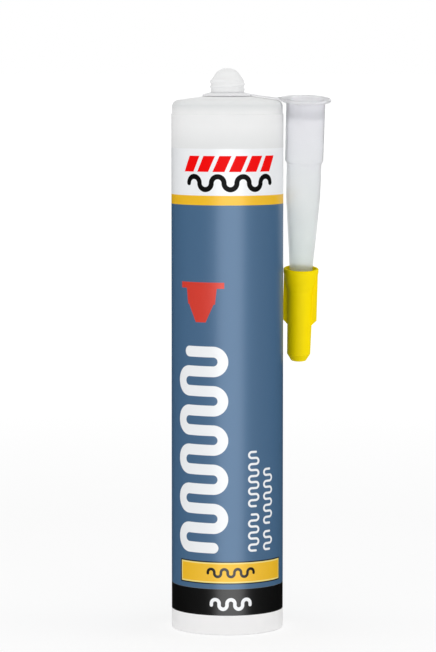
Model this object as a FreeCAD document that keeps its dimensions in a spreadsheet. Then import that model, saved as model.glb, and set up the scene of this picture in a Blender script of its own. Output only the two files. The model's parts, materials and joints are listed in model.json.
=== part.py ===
import FreeCAD, Part
import os
import re
import Sketcher
from FreeCAD import Vector

# A sealant cartridge that stands on its open rear end, in millimetres.
# The origin is the centre of the rear rim. +Z runs up the barrel to the threaded nipple,
# and the spare nozzle hangs from its strap on the +X side.

SIZES = {
    # Barrel: a plain tube moulded in one with its head
    "barrel_diameter": 48.4,
    "barrel_wall": 1.3,
    "shoulder_height": 229.2,
    "rim_round": 0.3,
    "lead_in_step": 0.3,
    "lead_in_depth": 20.0,
    "lead_in_slope": 0.5,
    "head_length": 5.9,
    "head_inset": 0.3,
    "head_corner_radius": 3.0,
    "head_rise": 1.4,
    "head_thickness": 2.1,
    # Nipple: a threaded neck with a closed, rounded end that is cut open before use
    "land_radius": 11.2,
    "neck_radius": 7.1,
    "neck_height": 7.0,
    "nipple_wall": 1.4,
    "dome_radius": 4.6,
    "dome_cone_height": 3.5,
    "dome_cap_height": 1.7,
    "thread_height": 0.4,
    "thread_root": 0.2,
    "thread_pitch": 2.27,
    "thread_turns": 1.75,
    "thread_foot": 1.6,
    "thread_crest": 0.6,
    "thread_start": 3.0,
    # Piston, and the charge of sealant in front of it
    "piston_height": 17.5,
    "piston_clearance": 0.08,
    "piston_lip_height": 3.0,
    "piston_relief": 0.9,
    "piston_wall": 1.2,
    "piston_web": 1.6,
    "piston_rib_radius": 13.2,
    "piston_rib_width": 1.2,
    "piston_rib_depth": 2.5,
    "charge_length": 183.2,
    "charge_film": 0.1,
    "charge_gap": 0.3,
    # Nozzle ring and strap
    "ring_clearance": 0.3,
    "ring_seat_gap": 0.2,
    "ring_margin": 0.4,
    "ring_edge": 0.6,
    "ring_hub": 1.6,
    "strap_thickness": 0.7,
    "strap_ring_width": 9.0,
    "strap_middle_width": 10.0,
    "strap_flange_width": 12.5,
    "strap_gap": 0.3,
    "strap_sink": 0.05,
    "strap_hold": 2.0,
    # Nozzle: flange, socket and tapered spout on one leaning axis
    "nozzle_gap": 1.2,
    "flange_lift": 0.5,
    "lean_out_angle": 1.3,
    "lean_front_angle": 8.0,
    "flange_overhang": 2.5,
    "flange_thickness": 1.2,
    "flange_bevel": 0.3,
    "socket_clearance": 0.1,
    "socket_wall": 0.85,
    "socket_end_wall": 0.65,
    "socket_bevel": 0.4,
    "socket_length": 27.0,
    "socket_step": 1.3,
    "spout_inset": 0.95,
    "taper_inset": 0.1,
    "taper_start": 42.6,
    "tip_radius": 2.1,
    "spout_wall": 1.0,
    "nozzle_length": 113.3,
    # Cap: a winged tube pushed over the spout's tip
    "cap_clearance": 0.3,
    "cap_cover": 38.6,
    "cap_rim_radius": 7.65,
    "cap_rim_bevel": 0.3,
    "cap_rim_height": 1.8,
    "cap_lip": 0.95,
    "collar_height": 10.0,
    "collar_radius": 5.6,
    "cap_tube_radius": 5.1,
    "cap_length": 41.1,
    "cap_end_bevel": 2.9,
    "cap_end_radius": 3.3,
    "cap_end_wall": 1.6,
    "wing_reach": 7.45,
    "wing_thickness": 1.4,
    "wing_length": 25.3,
    "wing_bevel": 2.2,
    "wing_bury": 0.35,
    "wing_turn_angle": 14.0,
}

# Lengths that follow from the driving sizes, as formulas in the same names.
WORKED_OUT = {
    "barrel_radius": "barrel_diameter / 2",
    "bore_radius": "barrel_radius - barrel_wall",
    "lead_in_radius": "bore_radius + lead_in_step",
    "head_radius": "barrel_radius - head_inset",
    "corner_inset": "head_radius - head_corner_radius",
    "land_height": "shoulder_height + head_rise",
    "head_slope": "head_rise / (corner_inset - land_radius)",
    "neck_top": "land_height + neck_height",
    "dome_foot": "neck_top + dome_cone_height",
    "nipple_top": "dome_foot + dome_cap_height",
    "dome_round": "(dome_radius ^ 2 + dome_cap_height ^ 2) / (2 * dome_cap_height)",
    "neck_bore": "neck_radius - nipple_wall",
    "roof_height": "land_height - head_thickness",
    "roof_edge": "shoulder_height - head_thickness",
    "crown_edge": "roof_edge - charge_length",
    "crown_height": "crown_edge + head_rise",
    "crown_slope": "head_rise / (bore_radius - neck_bore)",
    "piston_rear": "crown_edge - piston_height",
    "lip_radius": "bore_radius - piston_clearance",
    "skirt_radius": "lip_radius - piston_relief",
    "skirt_bore": "skirt_radius - piston_wall",
    "rib_bore": "piston_rib_radius - piston_rib_width",
    "web_under": "crown_height - piston_web",
    "thread_middle": "land_height + thread_start",
    "thread_radius": "neck_radius + thread_height",
    "ring_bore": "neck_radius + ring_clearance",
    "ring_radius": "land_radius - ring_margin",
    "ring_seat": "land_height + ring_seat_gap",
    "strap_start": "ring_radius - strap_hold",
    "strap_end": "nozzle_reach - socket_radius",
    "strap_end_rise": "socket_radius * tan(lean_out_angle)",
    "socket_bore": "thread_radius + socket_clearance",
    "socket_radius": "socket_bore + socket_wall",
    "nozzle_reach": "barrel_radius + nozzle_gap + socket_radius",
    "flange_height": "shoulder_height + flange_lift",
    "flange_radius": "socket_radius + flange_overhang",
    "socket_end_radius": "socket_bore + socket_end_wall",
    "spout_start": "socket_length + socket_step",
    "spout_radius": "socket_radius - spout_inset",
    "taper_radius": "spout_radius - taper_inset",
    "taper_slope": "(taper_radius - tip_radius) / (nozzle_length - taper_start)",
    "cap_start": "nozzle_length - cap_cover",
    "cap_end": "cap_start + cap_length",
    "cap_floor": "cap_end - cap_end_wall",
    "collar_end": "cap_start + collar_height",
    "wing_start": "cap_start + cap_rim_height / 2",
    "wing_end": "cap_start + wing_length",
}

# The nozzle's leaning axis, and the same turn seen from a sketch on the upright XZ plane.
LEAN = "rotationy(lean_out_angle) * rotationx(lean_front_angle)"
SEAT = f"placement(vector(nozzle_reach; 0; flange_height); {LEAN})"
CAP_SEAT = f"{SEAT} * placement(vector(0; 0; 0); rotationz(-wing_turn_angle))"
UPRIGHT = "placement(vector(0; 0; 0); rotationx({}))"
UPRIGHT_SEAT = f"{UPRIGHT.format(-90)} * {SEAT} * {UPRIGHT.format(90)}"
NEARLY_ZERO = 1e-9

# The two ends of a sketch edge, as constraints number them
START = 1
END = 2

document = FreeCAD.newDocument("Cartridge")
sheet = document.addObject("Spreadsheet::Sheet", "Sizes")
for row, (alias, length) in enumerate(SIZES.items(), start=1):
    sheet.set(f"A{row}", alias)
    sheet.set(f"B{row}", str(length))
    sheet.setAlias(f"B{row}", alias)
document.recompute()


def formula(text):
    """The expression with each name turned into its cell, or into the formula it stands for."""
    def spell_out(match):
        name = match.group(0)
        if name in WORKED_OUT:
            return f"({formula(WORKED_OUT[name])})"
        return f"Sizes.{name}" if name in SIZES else name
    return re.sub(r"[a-z][a-z_]+", spell_out, text)


def value_of(text):
    """What an expression comes to now."""
    return float(sheet.evalExpression(formula(text)))


def hold_point(sketch, line, end, across, along):
    """Ties one end of a sketch line to two formulas, on whichever side of the origin it lies."""
    for kind, axis, text in (("DistanceX", -2, across), ("DistanceY", -1, along)):
        distance = value_of(text)
        if abs(distance) < NEARLY_ZERO:
            sketch.addConstraint(Sketcher.Constraint("PointOnObject", line, end, axis))
            continue
        outward = distance > 0
        ends = (-1, 1, line, end) if outward else (line, end, -1, 1)
        index = sketch.addConstraint(Sketcher.Constraint(kind, *ends, abs(distance)))
        sketch.setExpression(f"Constraints[{index}]", formula(text if outward else f"-({text})"))


def add_edge(sketch, first, last, radius):
    """Adds a line, or an arc that bulges to the right of its way, and says which end is first."""
    if radius is None:
        sketch.addGeometry(Part.LineSegment(first, last), False)
        return START
    chord = last - first
    half = chord.Length / 2
    right = Vector(chord.y, -chord.x, 0).normalize()
    crest = (first + last) * 0.5 + right * (radius - (radius ** 2 - half ** 2) ** 0.5)
    sketch.addGeometry(Part.Arc(first, crest, last), False)
    start = sketch.Geometry[-1].StartPoint
    return START if start.distanceToPoint(first) < start.distanceToPoint(last) else END


def draw(body, name, plane, corners, offset=None):
    """A closed outline on one of a body's own origin planes. Each corner is two formulas, and a
    third one is the radius of the arc that runs from that corner to the next."""
    sketch = body.newObject("Sketcher::SketchObject", name)
    sides = {side.Role: side for side in body.Origin.OriginFeatures}
    sketch.AttachmentSupport = (sides[plane], [""])
    sketch.MapMode = "FlatFace"
    if offset:
        sketch.setExpression("AttachmentOffset", formula(offset))
    points = [Vector(value_of(corner[0]), value_of(corner[1]), 0) for corner in corners]
    radii = [corner[2] if len(corner) == 3 else None for corner in corners]
    starts = []
    for index, radius in enumerate(radii):
        following = points[(index + 1) % len(points)]
        starts.append(add_edge(sketch, points[index], following, radius and value_of(radius)))
    for index, corner in enumerate(corners):
        following = (index + 1) % len(points)
        finish = END if starts[index] == START else START
        sketch.addConstraint(Sketcher.Constraint("Coincident", index, finish, following, starts[following]))
        hold_point(sketch, index, starts[index], corner[0], corner[1])
        if radii[index]:
            held = sketch.addConstraint(Sketcher.Constraint("Radius", index, value_of(radii[index])))
            sketch.setExpression(f"Constraints[{held}]", formula(radii[index]))
    return sketch


def turn(body, name, section):
    """A full turn of a section about its sketch's upright axis."""
    solid = body.newObject("PartDesign::Revolution", name)
    solid.Profile = section
    solid.ReferenceAxis = (section, ["V_Axis"])
    solid.Angle = 360
    document.recompute()


def new_body(name, label):
    body = document.addObject("PartDesign::Body", name)
    body.Label = label
    return body


def make_barrel():
    body = new_body("Barrel", "barrel")
    wall = draw(body, "BarrelSection", "XZ_Plane", [
        ("lead_in_radius", "0"),
        ("barrel_radius - rim_round", "0", "rim_round"),
        ("barrel_radius", "rim_round"),
        ("barrel_radius", "shoulder_height - head_length - head_inset"),
        ("head_radius", "shoulder_height - head_length"),
        ("head_radius", "shoulder_height - head_corner_radius", "head_corner_radius"),
        ("corner_inset", "shoulder_height"),
        ("land_radius", "land_height"),
        ("neck_radius", "land_height"),
        ("neck_radius", "neck_top"),
        ("dome_radius", "dome_foot", "dome_round"),
        ("0", "nipple_top"),
        ("0", "nipple_top - nipple_wall"),
        ("neck_bore", "neck_top"),
        ("neck_bore", "roof_height"),
        ("bore_radius", "roof_edge"),
        ("bore_radius", "lead_in_depth + lead_in_slope"),
        ("lead_in_radius", "lead_in_depth"),
    ])
    turn(body, "BarrelWall", wall)
    ridge = draw(body, "ThreadSection", "XZ_Plane", [
        ("neck_radius - thread_root", "thread_middle - thread_foot / 2"),
        ("neck_radius", "thread_middle - thread_foot / 2"),
        ("thread_radius", "thread_middle - thread_crest / 2"),
        ("thread_radius", "thread_middle + thread_crest / 2"),
        ("neck_radius", "thread_middle + thread_foot / 2"),
        ("neck_radius - thread_root", "thread_middle + thread_foot / 2"),
    ])
    thread = body.newObject("PartDesign::AdditiveHelix", "NippleThread")
    thread.Profile = ridge
    thread.ReferenceAxis = (ridge, ["V_Axis"])
    thread.Mode = "pitch-turns-angle"
    thread.setExpression("Pitch", formula("thread_pitch"))
    thread.setExpression("Turns", formula("thread_turns"))
    document.recompute()
    return body


def make_piston():
    """A coned web with a stiffening rib, and a skirt with a sealing lip at each end."""
    body = new_body("Piston", "piston")
    under_web = "web_under - crown_slope * ({} - neck_bore)"
    rib_foot = f"{under_web.format('piston_rib_radius')} - piston_rib_depth"
    cup = draw(body, "PistonSection", "XZ_Plane", [
        ("0", "web_under"),
        ("neck_bore", "web_under"),
        ("rib_bore", under_web.format("rib_bore")),
        ("rib_bore", rib_foot),
        ("piston_rib_radius", rib_foot),
        ("piston_rib_radius", under_web.format("piston_rib_radius")),
        ("skirt_bore", under_web.format("skirt_bore")),
        ("skirt_bore", "piston_rear"),
        ("lip_radius", "piston_rear"),
        ("lip_radius", "piston_rear + piston_lip_height"),
        ("skirt_radius", "piston_rear + piston_lip_height + piston_relief"),
        ("skirt_radius", "crown_edge - piston_lip_height - piston_relief"),
        ("lip_radius", "crown_edge - piston_lip_height"),
        ("lip_radius", "crown_edge"),
        ("neck_bore", "crown_height"),
        ("0", "crown_height"),
    ])
    turn(body, "PistonCup", cup)
    return body


def make_sealant():
    """The charge fills the barrel from the piston's crown to the underside of the head."""
    body = new_body("Sealant", "sealant")
    charge = draw(body, "ChargeSection", "XZ_Plane", [
        ("0", "crown_height + charge_gap"),
        ("neck_bore", "crown_height + charge_gap"),
        ("bore_radius - charge_film", "crown_edge + charge_gap"),
        ("bore_radius - charge_film", "roof_edge - charge_film"),
        ("neck_bore", "roof_height - charge_film"),
        ("0", "roof_height - charge_film"),
    ])
    turn(body, "Charge", charge)
    return body


def strap_section(body, name, width, place):
    """A flat rectangle across the strap, standing on its underside."""
    return draw(body, name, "YZ_Plane", [
        (f"-({width}) / 2", "0"),
        (f"({width}) / 2", "0"),
        (f"({width}) / 2", "strap_thickness"),
        (f"-({width}) / 2", "strap_thickness"),
    ], place)


def add_strap(body):
    """A thin strap that follows the head's slope, then twists to meet the leaning flange."""
    ring_side = "land_height + strap_gap + head_slope * (land_radius - strap_start)"
    flange_side = "flange_height + strap_end_rise - strap_sink - strap_thickness"
    sections = [
        strap_section(body, "StrapAtRing", "strap_ring_width",
                      f"placement(vector(0; {ring_side}; strap_start); rotationz(0))"),
        strap_section(body, "StrapAtShoulder", "strap_middle_width",
                      "placement(vector(0; shoulder_height + strap_gap; corner_inset); rotationz(0))"),
        strap_section(body, "StrapAtFlange", "strap_flange_width",
                      f"placement(vector(0; {flange_side}; strap_end); rotationz(lean_front_angle))"),
    ]
    strap = body.newObject("PartDesign::AdditiveLoft", "Strap")
    strap.Profile = sections[0]
    strap.Sections = sections[1:]
    strap.Ruled = True
    document.recompute()


def make_nozzle():
    """One moulding: a ring round the neck, a strap, and the flanged socket with its spout."""
    body = new_body("Nozzle", "nozzle")
    ring = draw(body, "RingSection", "XZ_Plane", [
        ("ring_bore", "ring_seat"),
        ("ring_radius", "ring_seat"),
        ("ring_radius", "ring_seat + ring_edge"),
        ("ring_bore", "ring_seat + ring_hub"),
    ])
    turn(body, "Ring", ring)
    add_strap(body)
    spout = draw(body, "SpoutSection", "XZ_Plane", [
        ("socket_bore + socket_bevel", "0"),
        ("socket_bore", "-socket_bevel"),
        ("socket_bore", "-socket_length"),
        ("spout_radius - spout_wall", "-spout_start"),
        ("taper_radius - spout_wall", "-taper_start"),
        ("tip_radius - spout_wall", "-nozzle_length"),
        ("tip_radius", "-nozzle_length"),
        ("taper_radius", "-taper_start"),
        ("spout_radius", "-spout_start"),
        ("socket_end_radius", "-socket_length"),
        ("socket_radius", "-flange_thickness"),
        ("flange_radius - flange_bevel", "-flange_thickness"),
        ("flange_radius", "-(flange_thickness - flange_bevel)"),
        ("flange_radius", "-flange_bevel"),
        ("flange_radius - flange_bevel", "0"),
    ], UPRIGHT_SEAT)
    turn(body, "Spout", spout)
    return body


def make_cap():
    """A tube with a flared collar, a closed end and two flat wings."""
    body = new_body("Cap", "cap")
    body.setExpression("Placement", formula(CAP_SEAT))
    bore_at = "taper_radius - taper_slope * ({} - taper_start) + cap_clearance"
    tube = draw(body, "CapSection", "XZ_Plane", [
        ("cap_rim_radius - cap_lip", "-cap_start"),
        (bore_at.format("collar_end"), "-collar_end"),
        (bore_at.format("cap_floor"), "-cap_floor"),
        ("0", "-cap_floor"),
        ("0", "-cap_end"),
        ("cap_end_radius", "-cap_end"),
        ("cap_tube_radius", "-(cap_end - cap_end_bevel)"),
        ("collar_radius", "-collar_end"),
        ("cap_rim_radius", "-(cap_start + cap_rim_height)"),
        ("cap_rim_radius", "-(cap_start + cap_rim_bevel)"),
        ("cap_rim_radius - cap_rim_bevel", "-cap_start"),
    ])
    turn(body, "CapTube", tube)
    outline = draw(body, "WingOutline", "XZ_Plane", [
        ("cap_rim_radius - wing_bury", "-wing_start"),
        ("collar_radius - wing_bury", "-collar_end"),
        ("cap_tube_radius - wing_bury", "-wing_end"),
        ("wing_reach - wing_bevel", "-wing_end"),
        ("wing_reach", "-(wing_end - wing_bevel)"),
        ("wing_reach", "-wing_start"),
    ])
    wing = body.newObject("PartDesign::Pad", "Wing")
    wing.Profile = outline
    wing.setExpression("Length", formula("wing_thickness"))
    wing.Midplane = True
    document.recompute()
    pair = body.newObject("PartDesign::PolarPattern", "WingPair")
    pair.Originals = [wing]
    pair.Axis = (outline, ["V_Axis"])
    pair.Angle = 360
    pair.Occurrences = 2
    body.Tip = pair
    document.recompute()
    return body


bodies = [make_barrel(), make_piston(), make_sealant(), make_nozzle(), make_cap()]
document.recompute()
for item in document.Objects:
    if "Invalid" in item.State or "Error" in item.State:
        raise RuntimeError(f"{item.Name} did not recompute: {item.State}")
for body in bodies:
    if body.Shape.isNull() or not body.Shape.isValid():
        raise RuntimeError(f"{body.Label} has no valid shape")
os.makedirs("parts", exist_ok=True)
for body in bodies:
    body.Shape.exportStep(f"parts/{body.Label}.step")
    print(body.Label, len(body.Shape.Solids), round(body.Shape.Volume), body.Shape.BoundBox)
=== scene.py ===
import json
from math import radians, tau

import bmesh
import bpy
from mathutils import Matrix, Vector


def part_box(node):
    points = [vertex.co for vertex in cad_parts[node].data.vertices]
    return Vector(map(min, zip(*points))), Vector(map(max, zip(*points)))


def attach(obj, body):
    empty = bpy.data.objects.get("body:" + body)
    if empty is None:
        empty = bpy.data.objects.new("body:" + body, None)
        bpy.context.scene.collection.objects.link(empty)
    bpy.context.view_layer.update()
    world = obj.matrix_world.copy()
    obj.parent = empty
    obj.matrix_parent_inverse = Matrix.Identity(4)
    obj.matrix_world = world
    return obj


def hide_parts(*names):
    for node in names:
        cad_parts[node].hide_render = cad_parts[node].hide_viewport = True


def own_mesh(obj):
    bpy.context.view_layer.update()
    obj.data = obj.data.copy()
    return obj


# A sealant cartridge that stands on its open rear end, with a spare nozzle hung from its strap.
# Places in the scene are in metres. The finishes work in millimetres.

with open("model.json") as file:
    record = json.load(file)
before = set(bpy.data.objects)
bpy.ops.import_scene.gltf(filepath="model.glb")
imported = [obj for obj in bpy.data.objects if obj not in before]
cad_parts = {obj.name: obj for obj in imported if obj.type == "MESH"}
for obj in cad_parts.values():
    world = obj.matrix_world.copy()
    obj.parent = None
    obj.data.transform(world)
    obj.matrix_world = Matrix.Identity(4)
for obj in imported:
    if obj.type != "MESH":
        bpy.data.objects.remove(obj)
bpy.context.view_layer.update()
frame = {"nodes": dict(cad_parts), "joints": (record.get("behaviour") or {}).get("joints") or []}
MM = 0.001
WHITE = (1.0, 1.0, 1.0, 1.0)


# Finishes: each is worked out from the place on the piece


def ink(red, green, blue):
    """A colour from its 0 to 255 values, as the shaders want it."""
    def linear(value):
        share = value / 255
        return share / 12.92 if share <= 0.04045 else ((share + 0.055) / 1.055) ** 2.4
    return (linear(red), linear(green), linear(blue), 1.0)


def operation(name):
    """A method that adds one arithmetic node to the field's shader."""
    return lambda self, *others: self.nodes.math(name, self, *others)


class Field:
    """A number that varies over a surface. Arithmetic on fields adds the shader nodes for it."""

    def __init__(self, nodes, socket):
        self.nodes = nodes
        self.socket = socket

    __add__ = __radd__ = operation("ADD")
    __sub__ = operation("SUBTRACT")
    __mul__ = __rmul__ = operation("MULTIPLY")
    __truediv__ = operation("DIVIDE")
    __abs__ = operation("ABSOLUTE")
    __lt__ = operation("LESS_THAN")
    __gt__ = operation("GREATER_THAN")
    root = operation("SQRT")
    at_least = operation("MAXIMUM")
    at_most = operation("MINIMUM")
    to_and_fro = operation("PINGPONG")
    angle_from = operation("ARCTAN2")
    remainder = operation("FLOORED_MODULO")

    def __rsub__(self, other):
        return self.nodes.math("SUBTRACT", other, self)

    def switch(self, other, share):
        """This field, or the other one where share is 1."""
        return self + (other - self) * share

    def as_share(self):
        """The field, kept between 0 and 1."""
        return self.at_least(0.0).at_most(1.0)


def length_of(first, second):
    return (first * first + second * second).root()


class Nodes:
    """The nodes of a finish, or of the world, with short calls for what they need."""

    def __init__(self, owner):
        owner.use_nodes = True
        self.owner = owner
        self.tree = owner.node_tree
        self.tree.nodes.clear()

    def add(self, kind, **settings):
        node = self.tree.nodes.new(kind)
        for setting, value in settings.items():
            setattr(node, setting, value)
        return node

    def feed(self, socket, value):
        """Links a field or an output to a socket, or sets a plain value on it."""
        if isinstance(value, Field):
            value = value.socket
        if isinstance(value, bpy.types.NodeSocket):
            self.tree.links.new(value, socket)
        else:
            socket.default_value = value

    def math(self, name, *values):
        node = self.add("ShaderNodeMath", operation=name)
        for socket, value in zip(node.inputs, values):
            self.feed(socket, value)
        return Field(self, node.outputs["Value"])

    def place(self):
        """The point's place on the piece, in metres."""
        return self.add("ShaderNodeTexCoord").outputs["Object"]

    def place_in_mm(self):
        parts = self.add("ShaderNodeSeparateXYZ")
        self.feed(parts.inputs["Vector"], self.place())
        return [Field(self, parts.outputs[axis]) / MM for axis in "XYZ"]

    def grain(self, size):
        """Noise about 0.5, with grains of about this size in metres."""
        noise = self.add("ShaderNodeTexNoise")
        self.feed(noise.inputs["Vector"], self.place())
        self.feed(noise.inputs["Scale"], 1 / size)
        self.feed(noise.inputs["Detail"], 2.0)
        return Field(self, noise.outputs["Fac"])

    def paint(self, under, over, share):
        """One colour with another laid over it where share is 1."""
        mix = self.add("ShaderNodeMix", data_type="RGBA")
        under_socket, over_socket = [socket for socket in mix.inputs if socket.type == "RGBA"]
        self.feed(mix.inputs["Factor"], share)
        self.feed(under_socket, under)
        self.feed(over_socket, over)
        return next(socket for socket in mix.outputs if socket.type == "RGBA")

    def relief(self, height, depth):
        """The normal of a surface that rises by depth, in metres, where height goes from 0 to 1."""
        bump = self.add("ShaderNodeBump")
        self.feed(bump.inputs["Strength"], 1.0)
        self.feed(bump.inputs["Distance"], depth)
        self.feed(bump.inputs["Height"], height)
        return bump.outputs["Normal"]

    def matt(self, shade):
        """A plain matt grey."""
        diffuse = self.add("ShaderNodeBsdfDiffuse")
        self.feed(diffuse.inputs["Color"], (shade, shade, shade, 1.0))
        return diffuse.outputs["BSDF"]

    def blend(self, first, second, share):
        """One shader, or the other one where share is 1."""
        mix = self.add("ShaderNodeMixShader")
        self.feed(mix.inputs["Fac"], share)
        self.feed(mix.inputs[1], first)
        self.feed(mix.inputs[2], second)
        return mix.outputs["Shader"]

    def show(self, shader, output="ShaderNodeOutputMaterial"):
        """Ends the nodes with this shader."""
        self.feed(self.add(output).inputs["Surface"], shader)
        return self.owner

    def surface(self, colour, roughness, relief, settings):
        """A plastic or paste. Settings are fields or plain values for the shader's own sockets."""
        shader = self.add("ShaderNodeBsdfPrincipled")
        self.feed(shader.inputs["Base Color"], colour)
        self.feed(shader.inputs["Roughness"], roughness)
        self.feed(shader.inputs["Normal"], relief)
        for name, value in settings.items():
            self.feed(shader.inputs[name], value)
        return self.show(shader.outputs["BSDF"])


def new_finish(name):
    return Nodes(bpy.data.materials.new(name))


def light_inside(weight, reach):
    """Settings for light that spreads inside a pale plastic or paste, by a reach in metres."""
    return {
        "Subsurface Weight": weight,
        "Subsurface Radius": (1.0, 1.0, 1.0),
        "Subsurface Scale": reach,
    }


# Print on the barrel: fields and shapes, with heights from the rear rim in millimetres and
# distances round the barrel from the front, positive to the nozzle's side. Nothing nearer the axis
# than BORE_SIDE is printed. The edges of the ink fade over INK_EDGE.

PRINT_RADIUS = 24.2
BORE_SIDE = 24.0
INK_EDGE = 0.12

PRINT_FOOT = 8.5
BLACK_TOP = 20.0
LINE_FOOT = 184.7
BLUE_TOP = 186.0
LINE_TOP = 188.8
PRINT_TOP = 208.7
FIGURE_MIDDLE = -12.0

LABEL_BLUE = ink(66, 102, 136)
LABEL_YELLOW = ink(240, 187, 12)
LABEL_BLACK = ink(10, 10, 10)
LABEL_WHITE = ink(238, 240, 242)
LABEL_RED = ink(240, 0, 0)
WARM_RED = ink(212, 52, 34)
PALE_YELLOW = ink(244, 222, 130)


def cover(distance):
    """A mask of what lies inside an outline, from the signed distance to it."""
    return (0.5 - distance / INK_EDGE).as_share()


def outside_of(value, low, high):
    """How far a value is past a range, negative inside it."""
    return (low - value).at_least(value - high)


def stripe(height, low, high):
    return cover(outside_of(height, low, high))


def panel(around, height, left, right, low, high):
    return cover(outside_of(around, left, right).at_least(outside_of(height, low, high)))


def tapered(across, height, low, high, low_half, high_half):
    """A shape that is symmetric about its middle and widens from low to high."""
    half = low_half + (height - low) * ((high_half - low_half) / (high - low))
    return cover((abs(across) - half).at_least(outside_of(height, low, high)))


def slanted_bars(around, height, left, count, low, high):
    """A row of bars that lean to the right."""
    pitch, bar, slant = 7.1, 5.2, 0.45
    leaning = around - left - (height - (low + high) / 2) * slant
    in_row = outside_of(leaning, 0.0, count * pitch - (pitch - bar))
    in_bar = leaning.remainder(pitch) - bar
    return cover(in_row.at_least(in_bar).at_least(outside_of(height, low, high)))


def bead(along, across, spacing, turns, run, thickness):
    """A bead laid to and fro: straight runs across, joined by half circles, with round ends.
    It starts where along and across are 0, and each turn moves it on by spacing."""
    length = turns * spacing
    beyond = (abs(across) - run).at_least(0.0)
    on_first_side = across > 0.0
    on_other_side = 1.0 - on_first_side
    free_at_end = on_other_side if turns % 2 else on_first_side
    from_turn = (along - spacing / 2).to_and_fro(spacing)
    from_turn = (spacing - from_turn).switch(from_turn, on_first_side)
    distance = abs(length_of(beyond, from_turn) - spacing / 2)
    at_start = (along < -thickness).at_least((along < spacing / 2) * on_other_side)
    at_end = (along > length + thickness).at_least((along > length - spacing / 2) * free_at_end)
    distance = distance.switch(length_of(beyond, along), at_start)
    distance = distance.switch(length_of(beyond, along - length), at_end)
    return cover(distance - thickness / 2)


def any_of(*masks):
    whole = masks[0]
    for mask in masks[1:]:
        whole = whole.at_least(mask)
    return whole


def nozzle_figure(around, height):
    """A plain nozzle that points down: flange, socket and taper, each a little into the next."""
    # Each part's lowest and highest place, and half its width there
    parts = [(149.2, 151.8, 10.6, 10.6), (142.4, 149.5, 6.6, 7.4), (134.7, 142.7, 2.4, 6.1)]
    return any_of(*[tapered(around - FIGURE_MIDDLE, height, *part) for part in parts])


def small_beads(around, height):
    """Two thin upright lines of beads, each broken in two."""
    # Each part's middle round the barrel, the height it starts at and its turns
    parts = [(11.8, 36.4, 6), (11.8, 55.6, 9), (19.4, 36.4, 3), (19.4, 47.8, 9)]
    return any_of(*[
        bead(height - start, middle - around, spacing=2.6, turns=turns, run=1.0, thickness=0.95)
        for middle, start, turns in parts
    ])


def label_bands(nodes, height):
    """The colours that go all the way round. The blue reaches a little under the yellow line."""
    label = nodes.paint(LABEL_WHITE, LABEL_BLUE, stripe(height, BLACK_TOP, BLUE_TOP))
    label = nodes.paint(label, LABEL_YELLOW, stripe(height, LINE_FOOT, LINE_TOP))
    return nodes.paint(label, LABEL_BLACK, stripe(height, 0.0, BLACK_TOP))


def yellow_panel(nodes, label, around, height):
    """A yellow panel with a pale rim and a dark outline, and a bead across it."""
    for colour, inset in ((LABEL_BLACK, 0.0), (PALE_YELLOW, 0.5), (LABEL_YELLOW, 1.1)):
        inside = panel(around, height, left=-23.4 + inset, right=28.5 - inset,
                       low=22.1 + inset, high=31.9 - inset)
        label = nodes.paint(label, colour, inside)
    dark = bead(around + 8.6, height - 27.0, spacing=2.9, turns=7, run=0.2, thickness=1.2)
    return nodes.paint(label, LABEL_BLACK, dark)


def bare_barrel(nodes, height):
    """The natural plastic, with painted shade round the head's corner, greyer just above the print,
    and painted lighter at the rear rim.
    """
    corner_height, corner_reach = 227.0, 3.0
    middle_height, fade_from, fade_to = 100.0, 210.0, 218.0
    painted_corner_shade = (1.0 - abs(height - corner_height) / corner_reach).at_least(0.0)
    near_print = ((fade_to - height) / (fade_to - fade_from)).as_share()
    mottle = nodes.grain(0.009) * 0.35
    colour = nodes.paint(ink(240, 240, 240), ink(228, 230, 230), mottle)
    # Painted shade: the head's corner is painted greyer, most at the corner's middle height
    colour = nodes.paint(colour, ink(224, 226, 226), painted_corner_shade)
    colour = nodes.paint(colour, ink(229, 230, 230), near_print * (height > middle_height))
    # Painted light: the bare rear rim below the print is painted lighter than the head's plastic
    return nodes.paint(colour, ink(247, 246, 246), height < PRINT_FOOT)


def barrel_finish():
    """Natural plastic with the print's flat fields on the outside of the tube."""
    nodes = new_finish("barrel_plastic_printed")
    x, y, height = nodes.place_in_mm()
    around = x.angle_from(-1.0 * y) * PRINT_RADIUS
    printed = stripe(height, PRINT_FOOT, PRINT_TOP) * cover(BORE_SIDE - length_of(x, y))

    bars = slanted_bars(around, height, left=-19.2, count=6, low=198.9, high=205.7)
    under_bars = bead(around + 18.0, height - 194.15,
                      spacing=5.5, turns=7, run=0.0, thickness=2.2)
    on_blue = bead(122.1 - height, around - FIGURE_MIDDLE,
                   spacing=8.44, turns=10, run=5.8, thickness=4.6)
    on_black = bead(around + 7.0, height - 13.4, spacing=3.4, turns=5, run=0.35, thickness=1.5)

    label = label_bands(nodes, height)
    label = nodes.paint(label, LABEL_RED, bars)
    label = nodes.paint(label, LABEL_BLACK, under_bars)
    label = nodes.paint(label, WARM_RED, nozzle_figure(around, height))
    label = nodes.paint(label, LABEL_WHITE, any_of(on_blue, small_beads(around, height), on_black))
    label = yellow_panel(nodes, label, around, height)
    colour = nodes.paint(bare_barrel(nodes, height), label, printed)

    # All the ink is glossy but the bars and the bead under them
    matt_level, gloss_level = 0.05, 0.4
    matt_roughness, gloss_roughness = 0.5, 0.36
    glossy = printed - bars.at_least(under_bars)
    roughness = matt_roughness - glossy * (matt_roughness - gloss_roughness)
    return nodes.surface(colour, roughness, nodes.relief(nodes.grain(0.0016), depth=0.000012), {
        "Specular IOR Level": glossy * (gloss_level - matt_level) + matt_level,
        **light_inside(weight=(1.0 - printed) * 0.4, reach=0.0012),
    })


def natural_surface(nodes, colour, roughness, clearness):
    """Plastic with no pigment, as clear as clearness says."""
    return nodes.surface(colour, roughness, nodes.relief(nodes.grain(0.0012), depth=0.00001), {
        "IOR": 1.08,
        "Transmission Weight": clearness,
        **light_inside(weight=0.6, reach=0.004),
    })


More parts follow.
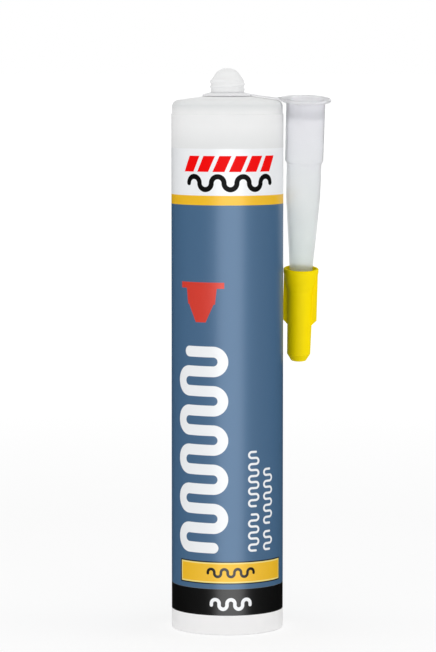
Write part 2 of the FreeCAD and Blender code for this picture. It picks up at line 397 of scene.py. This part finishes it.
def greyed(nodes, colour):
    """A natural plastic's colour with faint clouds in it."""
    return nodes.paint(colour, ink(210, 212, 212), nodes.grain(0.007) * 0.2)


def nozzle_finish():
    """Natural plastic, greener down the spout. What hangs beside the barrel lets light through."""
    spout_height, socket_height = 150.0, 215.0
    strap_start, flange_foot, hanging_from = 12.0, 227.3, 22.0
    clearest, lost_in_flange = 0.75, 0.3
    nodes = new_finish("nozzle_plastic_natural")
    x, _, height = nodes.place_in_mm()
    up_the_spout = ((height - spout_height) / (socket_height - spout_height)).as_share()
    in_flange = (x > strap_start) * (height > flange_foot)
    colour = greyed(nodes, nodes.paint(ink(243, 248, 245), ink(249, 249, 252), up_the_spout))
    colour = nodes.paint(colour, ink(241, 241, 243), in_flange)
    clearness = (x > hanging_from) * (1.0 - in_flange * lost_in_flange) * clearest
    return natural_surface(nodes, colour, roughness=0.4, clearness=clearness)


def piston_finish():
    nodes = new_finish("piston_plastic_natural")
    colour = greyed(nodes, ink(228, 228, 222))
    return natural_surface(nodes, colour, roughness=0.45, clearness=0.0)


def cap_finish():
    nodes = new_finish("cap_plastic_yellow")
    colour = nodes.paint(ink(255, 230, 0), ink(255, 222, 0), nodes.grain(0.006) * 0.5)
    relief = nodes.relief(nodes.grain(0.0011), depth=0.00001)
    dull = {"Specular IOR Level": 0.03}
    return nodes.surface(colour, roughness=0.5, relief=relief, settings=dull)


def sealant_finish():
    nodes = new_finish("sealant_paste_white")
    colour = nodes.paint(ink(236, 236, 232), ink(222, 222, 216), nodes.grain(0.012))
    relief = nodes.relief(nodes.grain(0.006), depth=0.00008)
    inner_light = light_inside(weight=0.4, reach=0.003)
    return nodes.surface(colour, roughness=0.3, relief=relief, settings=inner_light)


# Pieces


def new_object(name, shape, finish):
    """A bmesh becomes an object with one finish."""
    mesh = bpy.data.meshes.new(name)
    shape.to_mesh(mesh)
    shape.free()
    mesh.materials.append(finish)
    result = bpy.data.objects.new(name, mesh)
    bpy.context.scene.collection.objects.link(result)
    return result


def new_piece(name, shape, finish, body):
    """A bmesh becomes a smooth piece with one finish, that rides on a body."""
    sharp_angle = radians(30)
    bmesh.ops.recalc_face_normals(shape, faces=shape.faces)
    for face in shape.faces:
        face.smooth = True
    for edge in shape.edges:
        edge.smooth = edge.calc_face_angle(0.0) < sharp_angle
    piece = new_object(name, shape, finish)
    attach(piece, body)
    return piece


def turned(profile, steps):
    """A solid of revolution about Z. The profile lists radius and height from axis to axis."""
    shape = bmesh.new()
    corners = [shape.verts.new((radius, 0.0, height)) for radius, height in profile]
    edges = [shape.edges.new(pair) for pair in zip(corners, corners[1:])]
    bmesh.ops.spin(shape, geom=corners + edges, axis=(0, 0, 1), cent=(0, 0, 0),
                   angle=tau, steps=steps, use_merge=True)
    bmesh.ops.remove_doubles(shape, verts=shape.verts, dist=0.001 * MM)
    return shape


def make_sealant():
    """The charge of paste, which fills the bore and is pressed flat under the head."""
    low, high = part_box("sealant")
    rise, flat = 0.0014, 0.0057
    wall = high.x
    shape = turned([
        (0.0, low.z + rise), (flat, low.z + rise), (wall, low.z),
        (wall, high.z - rise), (flat, high.z), (0.0, high.z),
    ], steps=96)
    piece = new_piece("sealant_charge", shape, sealant_finish(), "barrel")
    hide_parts("sealant")
    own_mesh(piece)


def make_socket_thread(finish):
    """The ridge that winds down inside the nozzle's socket, along the nozzle's own leaning axis."""
    pull = next(joint for joint in frame["joints"] if joint["name"] == "cap_pull")
    down = Vector(pull["axis"]).normalized()
    seat = Vector((0.03385, 0.0, 0.2297))
    bore, crest, half_foot, half_top = 0.00762, 0.00728, 0.0008, 0.0003
    start, pitch, turns, steps = 0.0035, 0.00227, 2.5, 36
    shape = bmesh.new()
    section = [(bore, -half_foot), (crest, -half_top), (crest, half_top), (bore, half_foot)]
    corners = [shape.verts.new((radius, 0.0, height - start)) for radius, height in section]
    face = shape.faces.new(corners)
    bmesh.ops.spin(shape, geom=[face], axis=(0, 0, 1), cent=(0, 0, 0), angle=turns * tau,
                   dvec=(0, 0, -pitch / steps), steps=round(turns * steps), use_merge=False)
    lean = Vector((0, 0, -1)).rotation_difference(down).to_matrix().to_4x4()
    bmesh.ops.transform(shape, matrix=Matrix.Translation(seat) @ lean, verts=shape.verts)
    new_piece("socket_thread", shape, finish, "nozzle")


def dress(node, finish):
    """Gives one finish to a piece of the CAD model."""
    for slot in frame["nodes"][node].material_slots:
        slot.material = finish


def make_object():
    nozzle = nozzle_finish()
    dress("barrel", barrel_finish())
    dress("nozzle", nozzle)
    dress("piston", piston_finish())
    dress("cap", cap_finish())
    make_sealant()
    make_socket_thread(nozzle)


# Studio: a white floor and surround. Wide soft lights in front, at the sides and above light the
# colours. Two more are seen only in gloss, through the gap between two curved dark cards, and make
# the upright sheen on the barrel.


def directly_seen(nodes):
    """1 for what the camera sees, straight or in gloss or through a clear surface."""
    path = nodes.add("ShaderNodeLightPath")
    kinds = ("Is Camera Ray", "Is Glossy Ray", "Is Transmission Ray")
    return any_of(*[Field(nodes, path.outputs[kind]) for kind in kinds])


def make_surround():
    """Pure white where it is seen, and a dimmer white where it lights the room."""
    world = bpy.data.worlds.new("Surround")
    bpy.context.scene.world = world
    nodes = Nodes(world)
    room = nodes.add("ShaderNodeBackground")
    nodes.feed(room.inputs["Strength"], 0.65)
    backdrop = nodes.add("ShaderNodeBackground")
    for background in (room, backdrop):
        nodes.feed(background.inputs["Color"], WHITE)
    surround = nodes.blend(room.outputs["Background"], backdrop.outputs["Background"],
                           directly_seen(nodes))
    nodes.show(surround, "ShaderNodeOutputWorld")


def make_floor():
    """A white floor that keeps the shadow near the cartridge and fades into the backdrop."""
    near, far, glow_share = 350.0, 1500.0, 0.6
    half_side = 40.0
    nodes = new_finish("floor_white")
    glow = nodes.add("ShaderNodeEmission")
    nodes.feed(glow.inputs["Strength"], 1.1)
    x, y, _ = nodes.place_in_mm()
    away = ((length_of(x, y) - near) / (far - near)).as_share()
    share = directly_seen(nodes) * (glow_share + away * (1.0 - glow_share))
    nodes.show(nodes.blend(nodes.matt(0.9), glow.outputs["Emission"], share))
    shape = bmesh.new()
    bmesh.ops.create_grid(shape, x_segments=1, y_segments=1, size=half_side)
    floor = new_object("floor", shape, nodes.owner)


def hide_from(thing, kinds_of_ray):
    for kind in kinds_of_ray:
        setattr(thing, f"visible_{kind}", False)


def make_soft_light(name, place, aim, size, power, unseen_by=()):
    """A rectangular lamp that faces aim and isn't seen itself, of a width and a height."""
    light = bpy.data.lights.new(name, "AREA")
    light.shape = "RECTANGLE"
    light.size, light.size_y = size
    light.energy = power
    lamp = bpy.data.objects.new(name, light)
    lamp.location = place
    lamp.rotation_euler = (Vector(aim) - Vector(place)).to_track_quat("-Z", "Y").to_euler()
    hide_from(lamp, ("camera", "transmission", *unseen_by))
    bpy.context.scene.collection.objects.link(lamp)


def make_dark_card(name, first, last):
    """A curved dark card beside the cartridge with a foot on the table, that only gloss sees. It
    goes from one azimuth to another, in degrees from the front, and keeps the barrel's sides deep,
    as a studio does for a bottle."""
    near, far, foot, top, steps = 0.03, 0.1, 0.001, 0.3, 32
    shape = bmesh.new()
    turn = Matrix.Rotation(radians(first), 3, "Z")
    profile = [(near, foot), (far, foot), (far, top)]
    corners = [shape.verts.new(turn @ Vector((0.0, -away, height))) for away, height in profile]
    edges = [shape.edges.new(pair) for pair in zip(corners, corners[1:])]
    bmesh.ops.spin(shape, geom=corners + edges, axis=(0, 0, 1), cent=(0, 0, 0),
                   angle=radians(last - first), steps=steps)
    nodes = new_finish(name)
    card = new_object(name, shape, nodes.show(nodes.matt(0.02)))
    hide_from(card, ("camera", "diffuse", "transmission", "shadow", "volume_scatter"))


def make_lights():
    make_soft_light("key_light", place=(-0.1, -0.95, 0.2), aim=(0.0, 0.0, 0.1),
                    size=(1.5, 0.6), power=3.6, unseen_by=["glossy"])
    make_soft_light("left_fill", place=(-0.9, -0.1, 0.35), aim=(0.0, 0.0, 0.14),
                    size=(0.6, 0.7), power=0.8, unseen_by=["glossy"])
    make_soft_light("right_fill", place=(0.9, -0.1, 0.35), aim=(0.0, 0.0, 0.14),
                    size=(0.6, 0.7), power=1.1, unseen_by=["glossy"])
    make_soft_light("sheen_light", place=(0.12, -0.69, 0.3), aim=(0.0, 0.0, 0.3),
                    size=(0.95, 0.6), power=5.3, unseen_by=["diffuse"])
    make_soft_light("table_sheen", place=(0.1, -0.36, 0.0005), aim=(0.1, -0.36, 1.0),
                    size=(0.6, 0.64), power=3.6, unseen_by=["diffuse"])
    make_soft_light("top_light", place=(0.1, 0.1, 1.3), aim=(0.0, 0.0, 0.1),
                    size=(1.0, 1.0), power=2.5)


def make_camera():
    """A long lens at about 1.4 m, tilted down a little, that frames the whole cartridge."""
    tilt_down = 4.795
    view = bpy.data.cameras.new("camera")
    view.lens = 177.9
    view.clip_end = 100.0
    camera = bpy.data.objects.new("camera", view)
    camera.location = (-0.00405, -1.392, 0.2481)
    camera.rotation_euler = (radians(90 - tilt_down), 0.0, 0.0)
    bpy.context.scene.collection.objects.link(camera)
    bpy.context.scene.camera = camera


make_object()
make_surround()
make_floor()
make_lights()
make_dark_card("left_card", first=-165.0, last=-19.0)
make_dark_card("right_card", first=30.0, last=165.0)
make_camera()
bpy.context.scene.view_settings.view_transform = "Standard"
